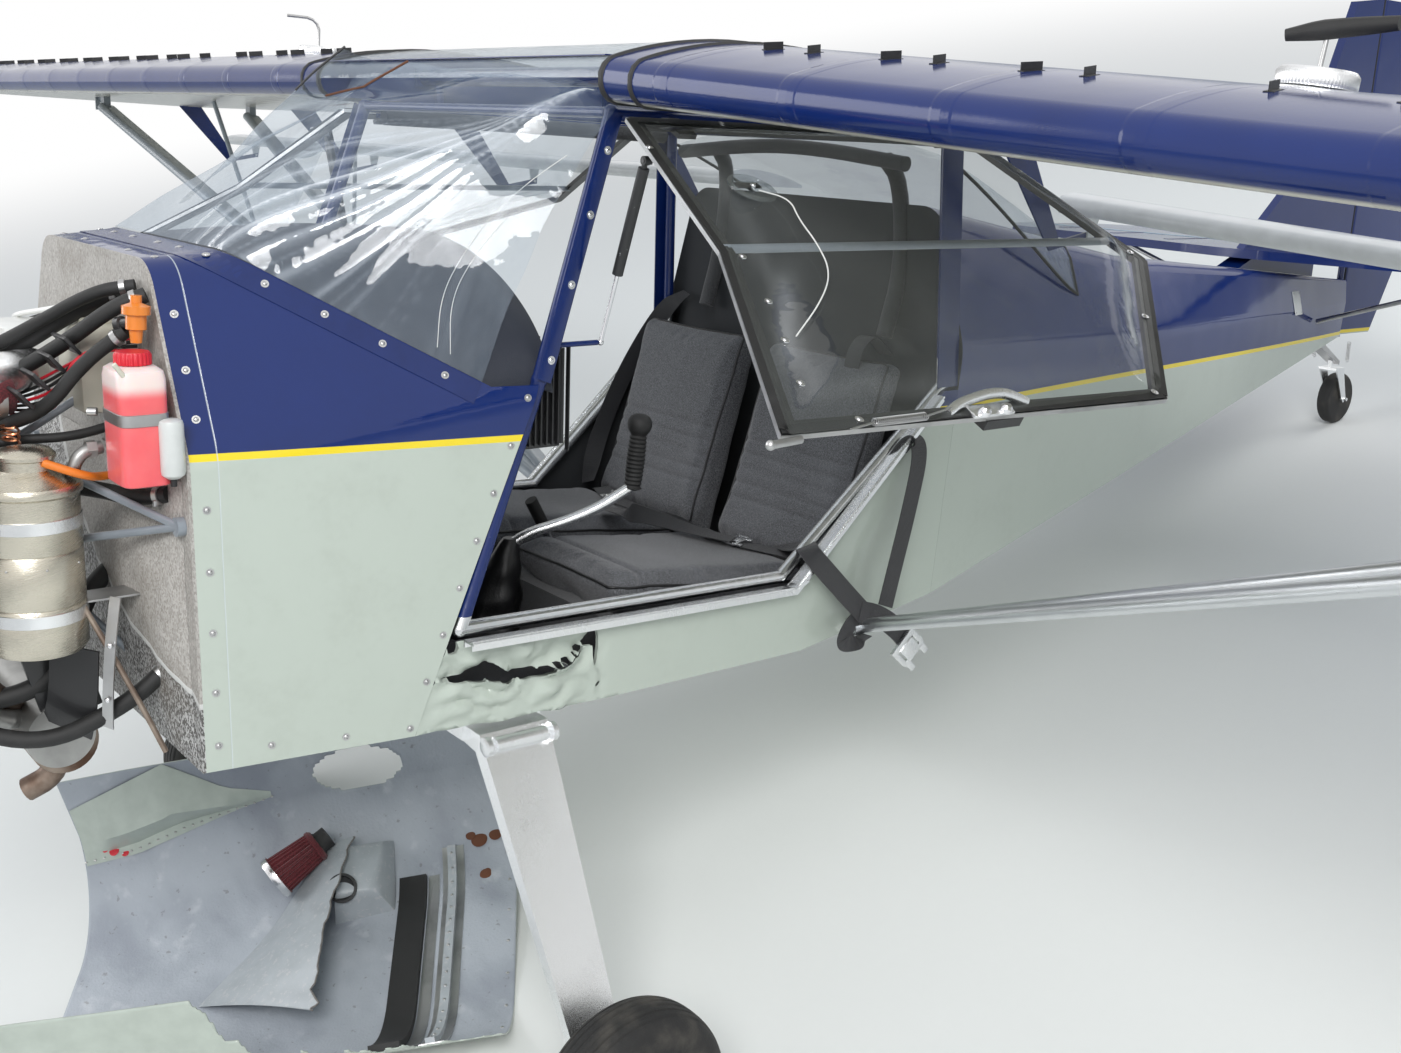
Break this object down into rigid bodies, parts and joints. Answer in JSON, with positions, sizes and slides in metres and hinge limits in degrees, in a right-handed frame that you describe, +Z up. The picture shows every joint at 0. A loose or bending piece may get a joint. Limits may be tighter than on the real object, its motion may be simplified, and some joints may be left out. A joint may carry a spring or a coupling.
{
  "type": "microlight aircraft",
  "caption": "High-wing two-seat tail-wheel microlight aircraft with open doors, bare engine bay and its lower cowl lying on the floor.",
  "frame": {"origin": "on the floor, midway along the overall length and width", "axes": "+Z up, -Y towards the nose, +X towards the left wing"},
  "size_m": [9.4939, 5.8448, 2.0354],
  "materials": {
    "blue_cover": "gloss",
    "blue_sheet": "gloss",
    "frame_paint": "gloss",
    "pale_cowl": "satin",
    "foil_pad": "satin",
    "glazing": "clear",
    "seat_cloth": "woven",
    "bare_alloy": "brushed",
    "panel_grey": "matt",
    "steel": "satin",
    "stay_black": "satin",
    "rod_chrome": "polished",
    "door_edge": "satin",
    "tyre_rubber": "matt",
    "engine_alloy": "cast",
    "mount_grey": "satin",
    "bottle_plastic": "satin",
    "blade_finish": "satin",
    "spinner_paint": "gloss",
    "flap_skin": "satin",
    "strut_alloy": "satin",
    "black_metal": "satin"
  },
  "bodies": {
    "airframe": {"aft_fuselage": "blue_cover", "cabin_tub": "blue_cover", "control_stick": "steel", "coolant_bottle": "bottle_plastic", "engine": "engine_alloy", "engine_mount": "mount_grey", "fin": "blue_cover", "firewall": "foil_pad", "flap_hangers_left": "bare_alloy", "flap_hangers_right": "bare_alloy", "frame_side_left": "frame_paint", "frame_side_right": "frame_paint", "frame_top": "frame_paint", "gear_leg_left": "bare_alloy", "gear_leg_right": "bare_alloy", "instrument_panel": "panel_grey", "lift_struts_left": "strut_alloy", "lift_struts_right": "strut_alloy", "lower_cowl": "pale_cowl", "nose_skin": "blue_sheet", "oil_tank": "steel", "radiator": "black_metal", "roof_glazing": "glazing", "rudder_pedals": "black_metal", "seat_back_left": "seat_cloth", "seat_back_right": "seat_cloth", "seat_cushion_left": "seat_cloth", "seat_cushion_right": "seat_cloth", "seat_pan": "bare_alloy", "tail_braces": "strut_alloy", "tail_spring": "steel", "windshield": "glazing", "wing_left": "blue_cover", "wing_right": "blue_cover"},
    "propeller": {"propeller": "blade_finish", "spinner": "spinner_paint"},
    "wheel_left": {"tyre_left": "tyre_rubber", "wheel_hub_left": "bare_alloy"},
    "wheel_right": {"tyre_right": "tyre_rubber", "wheel_hub_right": "bare_alloy"},
    "tail_fork": {"tail_wheel_fork": "steel"},
    "tail_roller": {"tail_wheel": "tyre_rubber"},
    "door_left": {"door_frame_left": "door_edge", "door_window_left": "glazing"},
    "door_right": {"door_frame_right": "door_edge", "door_window_right": "glazing"},
    "stay_body_left": {"stay_cylinder_left": "stay_black"},
    "stay_body_right": {"stay_cylinder_right": "stay_black"},
    "stay_piston_left": {"stay_rod_left": "rod_chrome"},
    "stay_piston_right": {"stay_rod_right": "rod_chrome"},
    "flaperon_left": {"flaperon_left": "flap_skin"},
    "flaperon_right": {"flaperon_right": "flap_skin"},
    "elevator": {"elevator": "blue_cover"},
    "rudder": {"rudder": "blue_cover"}
  },
  "joints": [
    {"name": "propeller_spin", "type": "hinge", "parent": "airframe", "child": "propeller", "pos_m": [0, -2.63543, 1.57615], "axis": [0, -0.9719, 0.2353], "continuous": true},
    {"name": "wheel_left_spin", "type": "hinge", "parent": "airframe", "child": "wheel_left", "pos_m": [0.922, -1.54325, 0.18], "axis": [1, 0, 0], "continuous": true},
    {"name": "wheel_right_spin", "type": "hinge", "parent": "airframe", "child": "wheel_right", "pos_m": [-0.922, -1.54325, 0.18], "axis": [1, 0, 0], "continuous": true},
    {"name": "tail_wheel_steer", "type": "hinge", "parent": "airframe", "child": "tail_fork", "pos_m": [0, 2.27773, 0.21707], "axis": [0, 0.2353, 0.9719], "range_deg": [-30, 30]},
    {"name": "tail_wheel_spin", "type": "hinge", "parent": "tail_fork", "child": "tail_roller", "pos_m": [0, 2.31385, 0.09], "axis": [1, 0, 0], "continuous": true},
    {"name": "door_left_hinge", "type": "hinge", "parent": "airframe", "child": "door_left", "pos_m": [0.536, -0.85829, 1.73448], "axis": [0, 0.9719, -0.2353], "range_deg": [0, 63.5]},
    {"name": "stay_left_pivot", "type": "hinge", "parent": "door_left", "child": "stay_body_left", "pos_m": [0.63233, -0.9877, 1.70144], "axis": [0, -0.9719, 0.2353], "range_deg": [0, 81.09]},
    {"name": "stay_left_slide", "type": "slide", "parent": "stay_body_left", "child": "stay_piston_left", "axis": [-0.3531, -0.2201, -0.9093], "range_m": [-0.07383, 0]},
    {"name": "door_right_hinge", "type": "hinge", "parent": "airframe", "child": "door_right", "pos_m": [-0.536, -0.85829, 1.73448], "axis": [0, -0.9719, 0.2353], "range_deg": [0, 63.5]},
    {"name": "stay_right_pivot", "type": "hinge", "parent": "door_right", "child": "stay_body_right", "pos_m": [-0.63233, -0.9877, 1.70144], "axis": [0, 0.9719, -0.2353], "range_deg": [0, 81.09]},
    {"name": "stay_right_slide", "type": "slide", "parent": "stay_body_right", "child": "stay_piston_right", "axis": [0.3531, -0.2201, -0.9093], "range_m": [-0.07383, 0]},
    {"name": "flaperon_left_hinge", "type": "hinge", "parent": "airframe", "child": "flaperon_left", "pos_m": [0.622, 0.19082, 1.27402], "axis": [0.9978, -0.0156, -0.0644], "range_deg": [-20, 20]},
    {"name": "flaperon_right_hinge", "type": "hinge", "parent": "airframe", "child": "flaperon_right", "pos_m": [-0.64, 0.19193, 1.2786], "axis": [1, 0, 0], "range_deg": [-20, 20]},
    {"name": "elevator_hinge", "type": "hinge", "parent": "airframe", "child": "elevator", "pos_m": [0, 2.128, 0.68235], "axis": [1, 0, 0], "range_deg": [-25, 25]},
    {"name": "rudder_hinge", "type": "hinge", "parent": "airframe", "child": "rudder", "pos_m": [0, 2.38653, 0.61977], "axis": [0, 0.2353, 0.9719], "range_deg": [-25, 25]}
  ],
  "couplings": [
    {"joint": "stay_left_pivot", "follows": "door_left_hinge", "ratio": 1.2768},
    {"joint": "stay_left_slide", "follows": "door_left_hinge", "m_per_rad": -0.066614},
    {"joint": "stay_right_pivot", "follows": "door_right_hinge", "ratio": 1.2768},
    {"joint": "stay_right_slide", "follows": "door_right_hinge", "m_per_rad": -0.066614}
  ]
}
